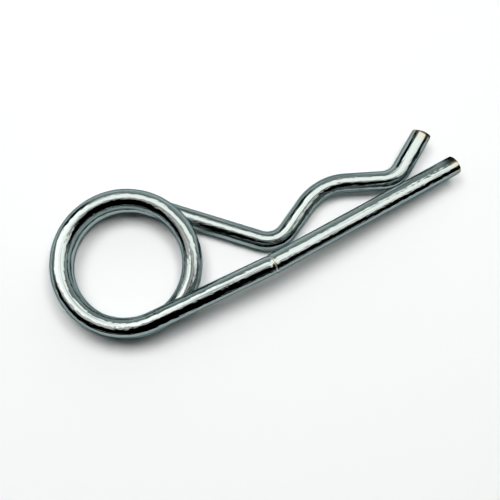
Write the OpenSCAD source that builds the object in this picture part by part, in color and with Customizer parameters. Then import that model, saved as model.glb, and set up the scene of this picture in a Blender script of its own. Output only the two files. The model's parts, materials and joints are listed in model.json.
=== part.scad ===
// Hitch R clip pin, also called a hairpin cotter or a double coil retaining pin.
//
// One length of round spring wire, bent cold. A straight leg goes through the cross hole of a pin or
// shaft, a coil of a bit more than one and a half turns works as the spring and the handle, and a
// wavy leg snaps round the outside of the shaft. The clip lies on the floor as it comes to rest: on
// the first run of the wavy leg and on the far side of the coil. The origin is where the axis of the
// coil meets the floor, X runs along the straight leg and Z is up. All sizes are in millimetres.

/* [Wire] */
// Diameter of the spring wire
wire_d = 4; // [3:0.1:4.3]
// Radius of the softened edge round both cut ends
end_soft = 0.4; // [0.2:0.05:1]
// How much thinner the wire gets where it is bent
bend_thinning = 0.04; // [0.04:0.01:0.1]

/* [Coil] */
// Clear diameter inside the coil
coil_bore = 21.7; // [18:0.1:26]
// Rise of the coil in one full turn
coil_pitch = 4.4; // [4.4:0.1:6]
// Angle the wire goes round from the straight leg to the wavy leg
coil_angle = 582.7; // [576:0.1:592]

/* [Straight leg] */
// Length of the leg between the coil and the mark of the bending jaw
leg_near = 24.7; // [15:0.1:40]
// Length of the leg between the mark of the bending jaw and the tip
leg_far = 44.1; // [20:0.1:60]
// How much the leg overlaps the last bend of the wavy leg below it, seen along the coil's axis
leg_overlap = 0.1; // [-2:0.05:0.2]
// Angle the leg dips at the mark towards the level of the wavy leg
dip_angle = 8; // [4:0.5:9]
// Depth of the mark the bending jaw leaves round the wire
mark_depth = 0.05; // [0.03:0.01:0.1]

/* [Wavy leg] */
// Length from the coil to the throat, which lies against the shaft
throat_run = 23.2; // [16:0.1:30]
// Radius of the throat bend at the centre of the wire
throat_r = 5.2; // [3:0.1:8]
// Angle of the throat bend
throat_angle = 72; // [60:0.1:80]
// Length from the throat up to the hump
rise_run = 6.5; // [4:0.1:12]
// Radius of the hump at the centre of the wire
hump_r = 11; // [6:0.1:14]
// Angle of the hump
hump_angle = 51.1; // [45:0.1:60]
// Length from the hump down to the last bend
fall_run = 7.6; // [4:0.1:12]
// Radius of the last bend at the centre of the wire
lip_r = 5.3; // [3:0.1:8]
// Angle of the last bend
lip_angle = 56; // [40:0.1:70]
// Length of the lip that leads the shaft in
lip_run = 8.6; // [5:0.1:16]

/* [Hidden] */
$fn = 96;

wire_r = wire_d / 2;
coil_r = (coil_bore + wire_d) / 2;

// The coil is bent in equal flat arcs, with a tiny straight between each two. The wire is rolled a
// little about its own line in each straight, and that is what makes the coil rise. Seen along the
// axis of the coil, the straights lie on a polygon, and each arc rounds one of its corners.
arcs = 7;
nip = 0.1;
arc_step = coil_angle / arcs;
half_side = coil_r * tan(arc_step / 2);

// Slope of the wire against the plane of the coil. A slight bend at each end of the coil takes it
// out again, so each leg leaves square to the axis of the coil.
lead_angle = atan(coil_pitch * arc_step / 360 / (2 * half_side));
roll_angle = 2 * atan(sin(lead_angle) * tan(arc_step / 2));
arc_angle = 2 * acos(cos(arc_step / 2) / cos(roll_angle / 2));
arc_r = (half_side / cos(lead_angle) - nip / 2) / tan(arc_angle / 2);
lead_r = 10;

// Each straight reaches past both of its ends, into the slightly thinner bends.
lap = 0.02;

// One row for each bend after the mark, in the order the wire is fed: length of straight wire before
// it, roll of the wire about its own line, radius of the bend, angle of the bend (clockwise seen from
// above when positive), how much thinner the wire is drawn there.
FEED = 0;
ROLL = 1;
RADIUS = 2;
ANGLE = 3;
THIN = 4;
bends = concat(
    [[leg_near, 90, lead_r, lead_angle, bend_thinning]],
    [[nip, roll_angle / 2 - 90, arc_r, arc_angle, bend_thinning]],
    [for (i = [2:arcs]) [nip, roll_angle, arc_r, arc_angle, bend_thinning]],
    [[nip, roll_angle / 2 - 90, lead_r, lead_angle, bend_thinning]],
    [[throat_run, 90, throat_r, -throat_angle, bend_thinning]],
    [[rise_run, 0, hump_r, hump_angle, bend_thinning]],
    [[fall_run, 0, lip_r, -lip_angle, bend_thinning]]
);
first_arc = 1;
last_arc = first_arc + arcs - 1;
throat = last_arc + 2;
lip = len(bends) - 1;

// 4 x 4 matrices of a move, and of a turn about X and about Z.
function moved(v) = [[1, 0, 0, v.x], [0, 1, 0, v.y], [0, 0, 1, v.z], [0, 0, 0, 1]];
function about_x(a) = [[1, 0, 0, 0], [0, cos(a), -sin(a), 0], [0, sin(a), cos(a), 0], [0, 0, 0, 1]];
function about_z(a) = [[cos(a), -sin(a), 0, 0], [sin(a), cos(a), 0, 0], [0, 0, 1, 0], [0, 0, 0, 1]];

// The wire runs along the X axis of its own frame. A bend starts after the feed and the roll, and
// turns the frame about a point beside the wire.
function bend_start(row) = moved([row[FEED], 0, 0]) * about_x(row[ROLL]);
function along_bend(row, part) = let (side = -sign(row[ANGLE]) * row[RADIUS])
    moved([0, side, 0]) * about_z(-row[ANGLE] * part) * moved([0, -side, 0]);
from_mark = [
    for (i = 0, frame = moved([0, 0, 0]); i <= len(bends);
        frame = i < len(bends) ? frame * bend_start(bends[i]) * along_bend(bends[i], 1) : frame,
        i = i + 1) frame
];
function column(m, k) = [m[0][k], m[1][k], m[2][k]];
function place(m) = column(m, 3);
function unit(v) = v / norm(v);

// The jaw mark is the bend where the leg leans in and dips, drawn down below the rest of the wire.
// The leg leans in until it just overlaps the last bend of the wavy leg. The wire is rolled for the
// mark, so that one bend does both, and rolled back after it.
mark_w = 0.5;
lip_centre = place(from_mark[lip] * bend_start(bends[lip]) * moved([mark_w / 2, lip_r, 0]));
lip_plan = [lip_centre.x, lip_centre.y];
leg_clear = lip_r + wire_d - leg_overlap;
lean_angle = atan2(-lip_plan.y, -lip_plan.x) - asin(leg_clear / norm(lip_plan));
mark_angle = acos(cos(lean_angle) * cos(dip_angle));
mark_roll = atan2(tan(dip_angle), sin(lean_angle));
mark = [leg_far, mark_roll, mark_w / mark_angle * 180 / PI, mark_angle, 2 * mark_depth];
mark_end = bend_start(mark) * along_bend(mark, 1) * about_x(-mark_roll);
frames = [for (frame = from_mark) mark_end * frame];

// How the clip lies: the run to the throat lies on the floor from end to end, and the clip leans
// over it until the lowest point of the coil touches the floor too.
SAMPLES = 12;
coil_frames = [
    for (i = [first_arc:last_arc], k = [0:SAMPLES])
        frames[i] * bend_start(bends[i]) * along_bend(bends[i], k / SAMPLES)
];
run_from = place(frames[throat]);
run_to = place(frames[throat] * bend_start(bends[throat]));
run_line = unit(run_to - run_from);
run_side = unit(cross(run_line, [0, 0, 1]));
run_up = cross(run_side, run_line);
function lean_of(p) = let (v = p - run_from, out = v * run_side)
    out > coil_r / 2 ? atan2(v * run_up, out) : 90;
rest_angle = min([for (frame = coil_frames) lean_of(place(frame))]);
up = run_up * cos(rest_angle) - run_side * sin(rest_angle);

// The coil axis goes through a point square beside the wire in the middle of a short straight.
mid_nip = frames[first_arc] * moved([nip / 2, 0, 0]) * about_x(-90);
axis_point = place(mid_nip * moved([0, -coil_r, 0]));
axis_line = column(mid_nip, 2) * cos(lead_angle) - column(mid_nip, 0) * sin(lead_angle);
floor_gap = (axis_point - run_from) * up + wire_r;
origin = axis_point - axis_line * (floor_gap / (axis_line * up));

// X runs along the straight leg towards its tip, level with the floor.
leg_line = [-1, 0, 0];
ahead = unit(leg_line - up * (leg_line * up));
across = cross(up, ahead);
at_rest = [[ahead.x, ahead.y, ahead.z, 0], [across.x, across.y, across.z, 0], [up.x, up.y, up.z, 0],
    [0, 0, 0, 1]] * moved(-origin);

// A straight length of wire from the YZ plane.
module straight(length) {
    translate([-lap, 0, 0]) rotate([0, 90, 0]) cylinder(d = wire_d, h = length + 2 * lap);
}

// A length of wire with its free end at the YZ plane, cut square and softened round the edge.
module cut_end(length) {
    rotate([0, 90, 0]) rotate_extrude() {
        square([wire_r - end_soft, length + lap]);
        translate([0, end_soft]) square([wire_r, length + lap - end_soft]);
        translate([wire_r - end_soft, end_soft]) circle(r = end_soft);
    }
}

// One bend of the wire, beginning at the YZ plane.
module bend(row) {
    side = -sign(row[ANGLE]);
    translate([0, side * row[RADIUS], 0]) rotate([0, 0, side > 0 ? -90 : 90 - row[ANGLE]])
        rotate_extrude(angle = abs(row[ANGLE])) translate([row[RADIUS], 0])
            circle(d = wire_d - row[THIN]);
}

module r_clip() {
    color("silver") multmatrix(at_rest) {
        cut_end(leg_far);
        multmatrix(bend_start(mark)) bend(mark);
        for (i = [0:len(bends) - 1]) {
            multmatrix(frames[i]) straight(bends[i][FEED]);
            multmatrix(frames[i] * bend_start(bends[i])) bend(bends[i]);
        }
        multmatrix(frames[len(bends)] * moved([lip_run, 0, 0])) mirror([1, 0, 0]) cut_end(lip_run);
    }
}

r_clip();
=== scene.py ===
import json
import math

import bpy
from mathutils import Matrix, Vector


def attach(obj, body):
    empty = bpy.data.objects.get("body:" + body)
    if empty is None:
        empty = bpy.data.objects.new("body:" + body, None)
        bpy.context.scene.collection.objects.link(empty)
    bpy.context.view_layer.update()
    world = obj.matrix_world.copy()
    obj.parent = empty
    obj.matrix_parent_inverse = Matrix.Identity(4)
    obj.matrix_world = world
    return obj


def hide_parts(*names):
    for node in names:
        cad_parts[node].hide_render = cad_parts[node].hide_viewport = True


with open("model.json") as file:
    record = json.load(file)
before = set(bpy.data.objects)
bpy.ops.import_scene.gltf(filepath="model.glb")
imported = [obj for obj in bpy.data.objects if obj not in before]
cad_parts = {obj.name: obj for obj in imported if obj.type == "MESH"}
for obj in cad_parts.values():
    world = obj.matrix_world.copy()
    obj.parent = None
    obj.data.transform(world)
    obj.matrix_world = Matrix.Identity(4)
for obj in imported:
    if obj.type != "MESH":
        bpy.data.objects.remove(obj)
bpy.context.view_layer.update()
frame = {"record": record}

MM = 0.001

# The wire, from the tip of the straight leg to the tip of the wavy leg, in millimetres and degrees.
WIRE_D = 4
END_SOFT = 0.4
LEG_FAR = 44.1
MARK_WIDTH = 0.5
LEAN_ANGLE = 3.82
DIP_ANGLE = 8
LEG_NEAR = 24.7
COIL_BORE = 21.7
COIL_PITCH = 4.4
COIL_ANGLE = 582.7
LIP_RUN = 8.6

# The bends of the wavy leg: the straight before the bend, its radius at the centre of the wire and
# its angle, which is positive where the wire turns clockwise seen from above.
THROAT = (23.2, 5.2, -72)
HUMP = (6.5, 11, 51.1)
LIP = (7.6, 5.3, -56)

# The coil is bent in equal flat arcs, with a tiny straight between each two. A slight bend at each
# end of the coil takes its slope out again.
COIL_ARCS = 7
NIP = 0.1
LEAD_R = 10

# The mark pressed in the wire at the kink, from the tip's side, as steps: the length of each and how
# far the surface then stands above or below the wire. It is a groove with a lip pushed up before it.
MARK_RISE = ((0.4, 0.07), (0.12, 0.06))
MARK_FALL = ((0.3, -0.015), (0.3, 0))
MARK_DEPTH = 0.12
# The share of the kink that lies before the deepest ring of the groove.
MARK_DEEPEST = 0.25

# The faint nick where the straight leg meets the coil, in the same kind of steps.
NICK = ((0.3, 0.015), (0.2, -0.02), (0.3, 0))

# A sheared end: the rounding of its edge, and the slight hook that leaves its face out of square.
CUT_ROUND = 0.12
CUT_HOOK_R = 3
STRAIGHT_CUT_ANGLE = 5
WAVY_CUT_ANGLE = -8
# Its rings: their shares of the flat face, from the middle out, and how many go round the edge.
FACE_RINGS = (0.1, 0.4, 0.7, 1)
EDGE_RINGS = 5

# How finely the wire is drawn: sides round it, the distance between two rings along it, and the
# angle past which an edge stays sharp.
SIDES = 64
RING_GAP = 0.5
SHARP_EDGE = 40

# Patterns on the wire, in lines for each millimetre along it and across it.
DIE_LINES = (0.04, 2.2, 2.2)
PLATING_STREAKS = (1.0, 3.6, 3.6)

# The levels of the noise between which a line of the die begins to show.
LINE_LEVELS = (0.54, 0.66)

# How deep the lines and the streaks are, in metres, and how strongly they turn the light.
LINE_DEPTH = 0.00001
STREAK_DEPTH = 0.000035
RELIEF = 0.8

# Where the surface changes, and where the painted dark reflection on the straight leg's tip ends,
# in millimetres. These are along the wire from the straight leg's tip.
RUB_STARTS = (8.0, 16.0)
RUB_ENDS = (38.0, 42.5)
PAINTED_REFLECTION_TIP_ENDS = (0.8, 4.0)
SCUFF_PLACE = LEG_FAR + 0.1
# These are from the nearer cut end, from the scuff's middle, and from the wire's centre line. The
# second gives the painted shade at each cut edge, the fourth the side where all the painted dark lies.
STAIN_ENDS = (0.3, 2.5)
PAINTED_SHADE_EDGE_ENDS = (0.25, 0.55)
SCUFF_ENDS = (0.04, 0.14)
PAINTED_DARK_SIDE = (-1.0, -0.4)
SCUFF_TOP = (0.7, 1.5)

# How much of the stain shows at a cut end, and how rough the plating is in each state.
STAIN_SHARE = 0.6
BRIGHT_ROUGHNESS = 0.07
RUBBED_ROUGHNESS = 0.12
SCUFFED_ROUGHNESS = 0.5

# Colours, as sRGB hex.
ZINC = "#98A5A4"
SCORED_ZINC = "#6A7575"
EDGE_TINT = "#2A5664"
STAIN = "#A39A80"
# Painted dark reflection and painted shade, on one side of the straight leg's tip and the cut ends.
PAINTED_REFLECTION_AND_SHADE = "#2C261E"
SCUFF = "#D2CFBE"
PAPER = "#FAFAFA"
WALL = "#EEF8F4"
WHITE = "#FFFFFF"

# Colours of the lamps, as linear red, green and blue.
WARM = (1.0, 0.89, 0.86)
NEUTRAL = (1.0, 1.0, 1.0)

# The camera: its place in metres, its turn in degrees, and its lens and sensor in millimetres.
CAMERA_PLACE = (-0.00367, -0.0368, 0.17158)
CAMERA_TURN = (12.28, -3.058, -30.133)
CAMERA_LENS = 61.55
CAMERA_SENSOR = 36
CAMERA_NEAR = 0.01

# Azimuth of the floor's direction that is straight up in the camera's view, and about the middle of
# the clip on the floor, in metres.
VIEW_UP = 60.5
CLIP_MIDDLE = (0.026, 0, 0)

# The lamp panels, in metres: how far each lies to the right and up in the camera's view from the
# middle of the clip, its width, its depth and how brightly it glows. All face down.
LAMP_HEIGHT = 0.45
MIRRORED_PANELS = {
    "softbox_left": (-0.43, 0.155, 0.58, 0.41, 2.75),
    "softbox_middle": (0.02, 0.215, 0.32, 0.43, 2.15),
    "softbox_right": (0.36, 0.085, 0.36, 0.27, 2.1),
    "left_card": (-0.42, -0.1425, 0.6, 0.185, 1.15),
    "front_card": (0.04, -0.06, 0.32, 0.12, 0.75),
    "side_card": (0.42, -0.11, 0.36, 0.12, 1.5),
}
FLOOR_PANELS = {
    "overhead_left": (-0.13, 0.08, 0.16, 0.18, 11.8),
    "overhead_right": (0.07, 0.08, 0.16, 0.18, 11.8),
}

# The room round the studio: the light of the pale wall, how much lighter it is low down, and where
# the dark doorway in it is, as degrees past straight up in the view and away from overhead.
WALL_LIGHT = 0.45
LOW_WALL_GAIN = 1.9
DOORWAY_TURN = 46
DOORWAY_LEAN = 68
# The cosines and heights between which the wall begins, the low wall ends and the doorway begins.
WALL_BEGINS = (-0.2, 0.1)
LOW_WALL_ENDS = (0.1, 0.5)
DOORWAY_BEGINS = (0.95, 0.978)

# The side of the floor, in metres.
FLOOR_SIZE = 3

# The two inputs of a ramp that make it fall from one to nought.
FALLING = {"To Min": 1.0, "To Max": 0.0}

wire_r = WIRE_D / 2


def coil_rows():
    """The arcs of the coil and the slight bend at each end of it: straight, roll, radius, angle."""
    step = math.radians(COIL_ANGLE / COIL_ARCS)
    half_side = (COIL_BORE + WIRE_D) / 2 * math.tan(step / 2)
    rise = COIL_PITCH * step / (2 * math.pi)
    lead = math.atan(rise / (2 * half_side))
    roll = 2 * math.atan(math.sin(lead) * math.tan(step / 2))
    arc = 2 * math.acos(math.cos(step / 2) / math.cos(roll / 2))
    radius = (half_side / math.cos(lead) - NIP / 2) / math.tan(arc / 2)
    lead, roll, arc = (math.degrees(a) for a in (lead, roll, arc))
    rows = [(0, 90, LEAD_R, lead), (NIP, roll / 2 - 90, radius, arc)]
    rows += [(NIP, roll, radius, arc)] * (COIL_ARCS - 1)
    return rows + [(NIP, roll / 2 - 90, LEAD_R, lead)]


def bend_rows():
    """Every bend after the kink, in the order the wire is fed: straight, roll, radius, angle."""
    rows = coil_rows()
    rows += [(run, roll, r, a) for (run, r, a), roll in ((THROAT, 90), (HUMP, 0), (LIP, 0))]
    return rows


def steps_for(length):
    """How many rings a length of wire is drawn with."""
    return max(1, round(length / RING_GAP))


class Wire:
    """A length of wire drawn ring by ring in edit mode. It keeps the frame of its last ring, whose X
    axis runs along the wire, and the length of straight wire up to each ring."""

    def __init__(self, name, radius):
        bpy.ops.object.select_all(action="DESELECT")
        bpy.ops.mesh.primitive_circle_add(vertices=SIDES, radius=radius * MM, rotation=(0, math.pi / 2, 0))
        self.object = bpy.context.object
        self.object.name = name
        bpy.ops.object.transform_apply(location=False, rotation=True, scale=False)
        bpy.ops.object.mode_set(mode="EDIT")
        bpy.ops.mesh.select_all(action="SELECT")
        self.place = Matrix.Identity(4)
        self.radius = radius
        self.along = [0.0]

    def feed(self, length, steps):
        """Keeps the length of straight wire up to each new ring."""
        self.along += [self.along[-1] + length / steps * k for k in range(1, steps + 1)]

    def roll(self, angle):
        """Rolls the wire about its own line, which sets the plane of the next bend."""
        self.place @= Matrix.Rotation(math.radians(angle), 4, "X")

    def run(self, length, steps=None):
        """Draws the wire straight on."""
        steps = steps or steps_for(length)
        move = self.place.to_3x3() @ Vector((length * MM / steps, 0, 0))
        bpy.ops.mesh.extrude_repeat(steps=steps, offset=move, scale_offset=1)
        self.feed(length, steps)
        self.place @= Matrix.Translation((length * MM, 0, 0))

    def bend(self, radius, angle, steps=None):
        """Draws the wire round an arc."""
        length = math.radians(abs(angle)) * radius
        steps = steps or steps_for(length)
        side = -math.copysign(1, angle)
        beside = Matrix.Translation((0, side * radius * MM, 0))
        centre = (self.place @ beside).to_translation()
        axis = self.place.to_3x3() @ Vector((0, 0, -side))
        bpy.ops.mesh.spin(steps=steps, angle=math.radians(abs(angle)), center=centre, axis=axis)
        self.feed(length, steps)
        turn = Matrix.Rotation(math.radians(-angle), 4, "Z")
        self.place = self.place @ beside @ turn @ beside.inverted()

    def size(self, radius):
        """Makes the last ring larger or smaller."""
        share = radius / self.radius
        bpy.ops.transform.resize(value=(share,) * 3, center_override=self.place.to_translation())
        self.radius = radius

    def close(self):
        """Fills the last ring with a face."""
        bpy.ops.mesh.edge_face_add()


def cut_length(angle):
    """How much of the wire a sheared end takes up."""
    return CUT_ROUND + math.radians(abs(angle)) * CUT_HOOK_R


def end_rings():
    """How far each ring of a cut end is from the end face, and its radius, from the middle out."""
    flat = wire_r - CUT_ROUND
    rings = [(0, flat * share) for share in FACE_RINGS]
    for k in range(1, EDGE_RINGS + 1):
        a = math.radians(90 * k / EDGE_RINGS)
        rings.append((CUT_ROUND * (1 - math.cos(a)), flat + CUT_ROUND * math.sin(a)))
    return rings


def draw_end(wire, rings):
    """Draws a cut end ring by ring, from the first of the rings, which is there already."""
    for (before, _), (depth, radius) in zip(rings, rings[1:]):
        wire.run(abs(depth - before), steps=1)
        wire.size(radius)


def steps_length(steps):
    return sum(length for length, _ in steps)


def draw_steps(wire, steps):
    """Draws a short stretch whose surface stands above or below the wire."""
    for length, rise in steps:
        wire.run(length, steps=1)
        wire.size(wire_r + rise)


def draw_mark(wire):
    """Draws the kink of the straight leg with the mark that the jaw of the bender pressed in it. The
    wire is rolled for it, so that one bend leans the leg in and dips it, and rolled back after it."""
    draw_steps(wire, MARK_RISE)
    lean, dip = math.radians(LEAN_ANGLE), math.radians(DIP_ANGLE)
    angle = math.degrees(math.acos(math.cos(lean) * math.cos(dip)))
    roll = math.degrees(math.atan2(math.tan(dip), math.sin(lean)))
    mark_r = MARK_WIDTH / math.radians(angle)
    wire.roll(roll)
    wire.bend(mark_r, angle * MARK_DEEPEST, steps=1)
    wire.size(wire_r - MARK_DEPTH)
    wire.bend(mark_r, angle * (1 - MARK_DEEPEST), steps=2)
    wire.roll(-roll)
    draw_steps(wire, MARK_FALL)


def draw_straight_leg(wire, rings):
    """Draws the straight leg from its tip to the coil. Gives its frame where the tip's hook ends."""
    wire.close()
    draw_end(wire, rings)
    wire.bend(CUT_HOOK_R, STRAIGHT_CUT_ANGLE, steps=1)
    leg_start = wire.place.copy()
    wire.run(LEG_FAR - cut_length(STRAIGHT_CUT_ANGLE) - steps_length(MARK_RISE))
    draw_mark(wire)
    wire.run(LEG_NEAR - steps_length(MARK_FALL) - steps_length(NICK))
    draw_steps(wire, NICK)
    return leg_start


def draw_coil_and_wavy_leg(wire, rings):
    """Draws the rest of the wire, to the tip of the wavy leg."""
    for run, roll, radius, angle in bend_rows():
        if run:
            wire.run(run)
        wire.roll(roll)
        wire.bend(radius, angle)
    wire.run(LIP_RUN - cut_length(WAVY_CUT_ANGLE))
    wire.bend(CUT_HOOK_R, WAVY_CUT_ANGLE, steps=1)
    draw_end(wire, rings[::-1])
    wire.close()


def make_clip():
    """Draws the clip with the tip of its straight leg at the origin and the leg along X, and gives
    the direction of the coil's axis with it."""
    rings = end_rings()
    wire = Wire("r_clip_wire", rings[0][1])
    leg_start = draw_straight_leg(wire, rings)
    coil_axis = (leg_start.inverted() @ wire.place).to_3x3().col[2]
    draw_coil_and_wavy_leg(wire, rings)
    bpy.ops.mesh.select_all(action="SELECT")
    bpy.ops.mesh.normals_make_consistent(inside=False)
    bpy.ops.object.mode_set(mode="OBJECT")
    bpy.ops.object.shade_smooth_by_angle(angle=math.radians(SHARP_EDGE))
    to_tip = Matrix.Translation((cut_length(STRAIGHT_CUT_ANGLE) * MM, 0, 0))
    wire.object.data.transform(to_tip @ leg_start.inverted())
    return wire, coil_axis


def keep_straight_places(wire):
    """Keeps on each point where it was on the straight wire before bending, for the surface's pattern:
    X along the wire, Y and Z from its centre line, in millimetres."""
    mesh = wire.object.data
    places = mesh.attributes.new("on_straight_wire", "FLOAT_VECTOR", "POINT")
    first = [mesh.vertices[k].co.copy() for k in range(SIDES)]
    for k, point in enumerate(places.data):
        side = first[k % SIDES].normalized() * wire_r
        point.vector = (wire.along[k // SIDES], side.y, side.z)


def square_axes(along, up):
    """Axes with X along the wire and Z as near to up as can be, as the columns of a matrix."""
    across = up.cross(along).normalized()
    return Matrix((along, across, along.cross(across))).transposed()


def lay_down(wire, coil_axis):
    """Moves the mesh to where the CAD part lies, by its mounts. The one on the straight leg ends where
    the rounding of the tip begins."""
    mounts = {m["name"]: m for m in frame["record"]["mounts"]}
    leg = Vector(mounts["pin_leg"]["axis"]).normalized()
    up = Vector(mounts["coil_eye"]["axis"]).normalized()
    half = mounts["pin_leg"]["dims"]["length_mm"] / 2 + END_SOFT
    tip = Vector(mounts["pin_leg"]["pos_m"]) + leg * half * MM
    turn = square_axes(-leg, up) @ square_axes(Vector((1, 0, 0)), coil_axis).transposed()
    wire.object.data.transform(Matrix.Translation(tip) @ turn.to_4x4())


def linear(code):
    """A colour written as sRGB hex, as the linear values that shaders take."""
    parts = [int(code[k : k + 2], 16) / 255 for k in (1, 3, 5)]
    return [c / 12.92 if c <= 0.04045 else ((c + 0.055) / 1.055) ** 2.4 for c in parts] + [1]


def add_node(tree, kind, inputs=None, **settings):
    """Adds a node with its settings, and sets or links each input that is given."""
    node = tree.nodes.new(kind)
    for name, value in settings.items():
        setattr(node, name, value)
    for name, value in (inputs or {}).items():
        if isinstance(value, bpy.types.NodeSocket):
            tree.links.new(value, node.inputs[name])
        else:
            node.inputs[name].default_value = value
    return node


def span(ends):
    """The two inputs of a ramp that say where it starts and stops."""
    return {"From Min": ends[0], "From Max": ends[1]}


def new_material(name):
    material = bpy.data.materials.new(name)
    material.use_nodes = True
    material.node_tree.nodes.clear()
    return material


def die_lines(tree, place):
    """Lines scored by the drawing die, about 25 mm long. Real ones are a few hundredths of a millimetre
    apart, which is too fine to show, so they are drawn about 0.45 mm apart."""
    stretched = add_node(tree, "ShaderNodeVectorMath", {0: place, 1: DIE_LINES}, operation="MULTIPLY")
    noise = add_node(
        tree,
        "ShaderNodeTexNoise",
        {"Vector": stretched.outputs[0], "Scale": 1.0, "Detail": 2.0, "Roughness": 0.6},
    )
    lines = add_node(tree, "ShaderNodeMapRange", {"Value": noise.outputs[0], **span(LINE_LEVELS)})
    return lines.outputs[0]


def plating_streaks(tree, place):
    """Short streaks in the plating, about 1 mm long. Real ones are finer, and these are drawn about
    0.3 mm apart, which is as coarse as they need to be to show."""
    stretched = add_node(tree, "ShaderNodeVectorMath", {0: place, 1: PLATING_STREAKS}, operation="MULTIPLY")
    noise = add_node(
        tree,
        "ShaderNodeTexNoise",
        {"Vector": stretched.outputs[0], "Scale": 1.0, "Detail": 0.0},
    )
    return noise.outputs[0]


def wire_relief(tree, lines, streaks):
    """The lines are sunk in the surface and the streaks roughen it."""
    scored = add_node(
        tree,
        "ShaderNodeBump",
        {"Height": lines, "Strength": RELIEF, "Distance": LINE_DEPTH},
        invert=True,
    )
    streaked = add_node(
        tree,
        "ShaderNodeBump",
        {"Height": streaks, "Strength": RELIEF, "Distance": STREAK_DEPTH, "Normal": scored.outputs[0]},
    )
    return streaked.outputs[0]


def rubbed_roughness(tree, along):
    """The plating is bright, and duller where the shaft's hole rubs the straight leg."""
    start = add_node(
        tree,
        "ShaderNodeMapRange",
        {"Value": along, **span(RUB_STARTS)},
        interpolation_type="SMOOTHSTEP",
    )
    end = add_node(
        tree,
        "ShaderNodeMapRange",
        {"Value": along, **span(RUB_ENDS), **FALLING},
        interpolation_type="SMOOTHSTEP",
    )
    rubbed = add_node(tree, "ShaderNodeMath", {0: start.outputs[0], 1: end.outputs[0]}, operation="MULTIPLY")
    rough = add_node(
        tree,
        "ShaderNodeMapRange",
        {"Value": rubbed.outputs[0], "To Min": BRIGHT_ROUGHNESS, "To Max": RUBBED_ROUGHNESS},
    )
    return rough.outputs[0]


def zinc_colour(tree, lines, from_cut):
    """Zinc is darker in the die's lines, and thin and stained near the cut ends."""
    zinc = add_node(
        tree,
        "ShaderNodeMix",
        {0: lines, 6: linear(ZINC), 7: linear(SCORED_ZINC)},
        data_type="RGBA",
    )
    near = add_node(
        tree,
        "ShaderNodeMapRange",
        {"Value": from_cut, **span(STAIN_ENDS), "To Min": STAIN_SHARE, "To Max": 0.0},
        interpolation_type="SMOOTHSTEP",
    )
    stained = add_node(
        tree,
        "ShaderNodeMix",
        {0: near.outputs[0], 6: zinc.outputs[2], 7: linear(STAIN)},
        data_type="RGBA",
    )
    return stained.outputs[2]


def paint_reflection_and_shade(tree, colour, along, across, from_cut):
    """Paints a dark reflection on one side of the straight tip and shade on that side of each cut end."""
    side = add_node(tree, "ShaderNodeMapRange", {"Value": across, **span(PAINTED_DARK_SIDE), **FALLING})
    tip = add_node(
        tree,
        "ShaderNodeMapRange",
        {"Value": along, **span(PAINTED_REFLECTION_TIP_ENDS), **FALLING},
        interpolation_type="SMOOTHSTEP",
    )
    edge = add_node(tree, "ShaderNodeMapRange", {"Value": from_cut, **span(PAINTED_SHADE_EDGE_ENDS), **FALLING})
    either = add_node(tree, "ShaderNodeMath", {0: tip.outputs[0], 1: edge.outputs[0]}, operation="MAXIMUM")
    painted_dark = add_node(tree, "ShaderNodeMath", {0: either.outputs[0], 1: side.outputs[0]}, operation="MULTIPLY")
    mixed = add_node(
        tree,
        "ShaderNodeMix",
        {0: painted_dark.outputs[0], 6: colour, 7: linear(PAINTED_REFLECTION_AND_SHADE)},
        data_type="RGBA",
    )
    return mixed.outputs[2]


def jaw_scuff(tree, along, height):
    """Where the bender's jaw left a scuffed line across the top of the kink."""
    past = add_node(tree, "ShaderNodeMath", {0: along, 1: SCUFF_PLACE}, operation="SUBTRACT")
    off = add_node(tree, "ShaderNodeMath", {0: past.outputs[0]}, operation="ABSOLUTE")
    line = add_node(tree, "ShaderNodeMapRange", {"Value": off.outputs[0], **span(SCUFF_ENDS), **FALLING})
    top = add_node(tree, "ShaderNodeMapRange", {"Value": height, **span(SCUFF_TOP)})
    scuff = add_node(tree, "ShaderNodeMath", {0: line.outputs[0], 1: top.outputs[0]}, operation="MULTIPLY")
    return scuff.outputs[0]


def zinc_wire(length):
    """Spring steel wire, drawn through a die and plated with bright zinc. It mirrors the studio in long
    light and black bands, blue-green towards its edges, and lines and streaks break up their borders."""
    material = new_material("bright_zinc_plated_drawn_steel")
    tree = material.node_tree
    place = add_node(tree, "ShaderNodeAttribute", attribute_name="on_straight_wire").outputs["Vector"]
    axes = add_node(tree, "ShaderNodeSeparateXYZ", {0: place})
    along, across, height = (axes.outputs[axis] for axis in "XYZ")
    to_end = add_node(tree, "ShaderNodeMath", {0: length, 1: along}, operation="SUBTRACT")
    from_cut = add_node(tree, "ShaderNodeMath", {0: along, 1: to_end.outputs[0]}, operation="MINIMUM")

    lines = die_lines(tree, place)
    colour = zinc_colour(tree, lines, from_cut.outputs[0])
    # Painted dark reflection and painted shade on one side of the straight tip and the cut ends.
    colour = paint_reflection_and_shade(tree, colour, along, across, from_cut.outputs[0])
    scuff = jaw_scuff(tree, along, height)
    scuffed = add_node(tree, "ShaderNodeMix", {0: scuff, 6: colour, 7: linear(SCUFF)}, data_type="RGBA")
    rough = add_node(
        tree,
        "ShaderNodeMapRange",
        {"Value": scuff, "To Min": rubbed_roughness(tree, along), "To Max": SCUFFED_ROUGHNESS},
    )
    shader = add_node(
        tree,
        "ShaderNodeBsdfPrincipled",
        {
            "Base Color": scuffed.outputs[2],
            "Metallic": 1.0,
            "Roughness": rough.outputs[0],
            "Specular Tint": linear(EDGE_TINT),
            "Normal": wire_relief(tree, lines, plating_streaks(tree, place)),
        },
    )
    add_node(tree, "ShaderNodeOutputMaterial", {"Surface": shader.outputs[0]})
    return material


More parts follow.
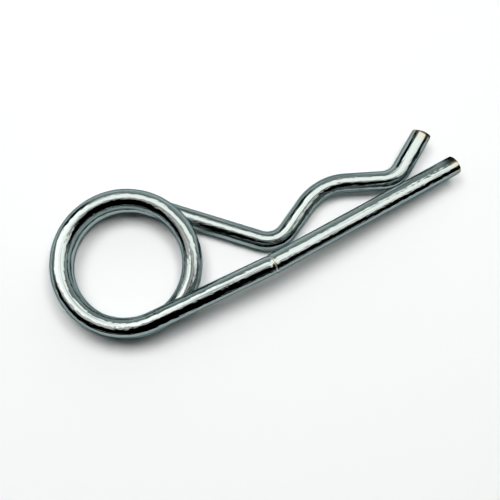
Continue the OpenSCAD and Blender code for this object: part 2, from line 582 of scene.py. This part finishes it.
def white_paper():
    """A sheet of uncoated white paper, rolled smooth. It is matt, with hardly any shine."""
    material = new_material("white_paper")
    tree = material.node_tree
    shader = add_node(
        tree,
        "ShaderNodeBsdfPrincipled",
        {"Base Color": linear(PAPER), "Roughness": 0.9, "Specular IOR Level": 0.1},
    )
    add_node(tree, "ShaderNodeOutputMaterial", {"Surface": shader.outputs[0]})
    return material


def make_floor():
    bpy.ops.object.select_all(action="DESELECT")
    bpy.ops.mesh.primitive_plane_add(size=FLOOR_SIZE)
    floor = bpy.context.object
    floor.name = "floor"
    floor.data.materials.append(white_paper())


def make_camera():
    camera = bpy.data.objects.new("camera", bpy.data.cameras.new("camera"))
    bpy.context.scene.collection.objects.link(camera)
    camera.location = CAMERA_PLACE
    camera.rotation_euler = [math.radians(a) for a in CAMERA_TURN]
    camera.data.sensor_width = CAMERA_SENSOR
    camera.data.lens = CAMERA_LENS
    camera.data.clip_start = CAMERA_NEAR
    bpy.context.scene.camera = camera


def facing(azimuth, lean):
    """The direction at an azimuth, leaning away from straight up."""
    a, e = math.radians(azimuth), math.radians(lean)
    return Vector((math.cos(a) * math.sin(e), math.sin(a) * math.sin(e), math.cos(e)))


def add_panel(name, right, up, width, depth, glow, color, **rays):
    """Hangs a lamp panel over the floor. Its rays say what the panel is seen or felt by."""
    data = bpy.data.lights.new(name, "AREA")
    data.shape = "RECTANGLE"
    data.size = width
    data.size_y = depth
    data.energy = math.pi * width * depth * glow
    data.color = color
    lamp = bpy.data.objects.new(name, data)
    for setting, value in rays.items():
        setattr(lamp, setting, value)
    bpy.context.scene.collection.objects.link(lamp)
    lamp.visible_camera = False
    turn = Matrix.Rotation(math.radians(VIEW_UP - 90), 4, "Z")
    hang = Matrix.Translation((right, up, LAMP_HEIGHT))
    lamp.matrix_world = Matrix.Translation(CLIP_MIDDLE) @ turn @ hang


def make_lamps():
    """Some panels are only mirrored by the wire, and the others only light the floor."""
    for name, panel in MIRRORED_PANELS.items():
        add_panel(name, *panel, WARM, visible_diffuse=False)
    for name, panel in FLOOR_PANELS.items():
        add_panel(name, *panel, NEUTRAL, visible_glossy=False)


def make_world():
    """A room with a pale wall on the side that is up in the view, lighter low down and with a dark
    doorway in it, and no light on the other side. The camera sees a white background instead."""
    world = bpy.data.worlds.new("studio")
    bpy.context.scene.world = world
    world.use_nodes = True
    tree = world.node_tree
    tree.nodes.clear()
    look = add_node(tree, "ShaderNodeTexCoord").outputs["Generated"]
    toward = {0: look, 1: facing(VIEW_UP, 90)}
    wall = add_node(tree, "ShaderNodeVectorMath", toward, operation="DOT_PRODUCT")
    pale = add_node(
        tree,
        "ShaderNodeMapRange",
        {"Value": wall.outputs["Value"], **span(WALL_BEGINS), "To Min": 0.0, "To Max": WALL_LIGHT},
    )
    height = add_node(tree, "ShaderNodeSeparateXYZ", {0: look}).outputs["Z"]
    low = add_node(
        tree,
        "ShaderNodeMapRange",
        {"Value": height, **span(LOW_WALL_ENDS), "To Min": LOW_WALL_GAIN, "To Max": 1.0},
    )
    lit = add_node(tree, "ShaderNodeMath", {0: pale.outputs[0], 1: low.outputs[0]}, operation="MULTIPLY")
    toward = {0: look, 1: facing(VIEW_UP + DOORWAY_TURN, DOORWAY_LEAN)}
    doorway = add_node(tree, "ShaderNodeVectorMath", toward, operation="DOT_PRODUCT")
    outside = add_node(
        tree,
        "ShaderNodeMapRange",
        {"Value": doorway.outputs["Value"], **span(DOORWAY_BEGINS), **FALLING},
    )
    level = add_node(tree, "ShaderNodeMath", {0: lit.outputs[0], 1: outside.outputs[0]}, operation="MULTIPLY")
    room = add_node(tree, "ShaderNodeBackground", {"Color": linear(WALL), "Strength": level.outputs[0]})
    white = add_node(tree, "ShaderNodeBackground", {"Color": linear(WHITE), "Strength": 1.0})
    seen = add_node(tree, "ShaderNodeLightPath").outputs["Is Camera Ray"]
    mix = add_node(tree, "ShaderNodeMixShader", {0: seen, 1: room.outputs[0], 2: white.outputs[0]})
    add_node(tree, "ShaderNodeOutputWorld", {"Surface": mix.outputs[0]})


bpy.context.scene.view_settings.view_transform = "Standard"

clip, coil_axis = make_clip()
keep_straight_places(clip)
lay_down(clip, coil_axis)
clip.object.data.materials.append(zinc_wire(clip.along[-1]))
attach(clip.object, "root")
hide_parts("r_clip")

make_floor()
make_camera()
make_lamps()
make_world()
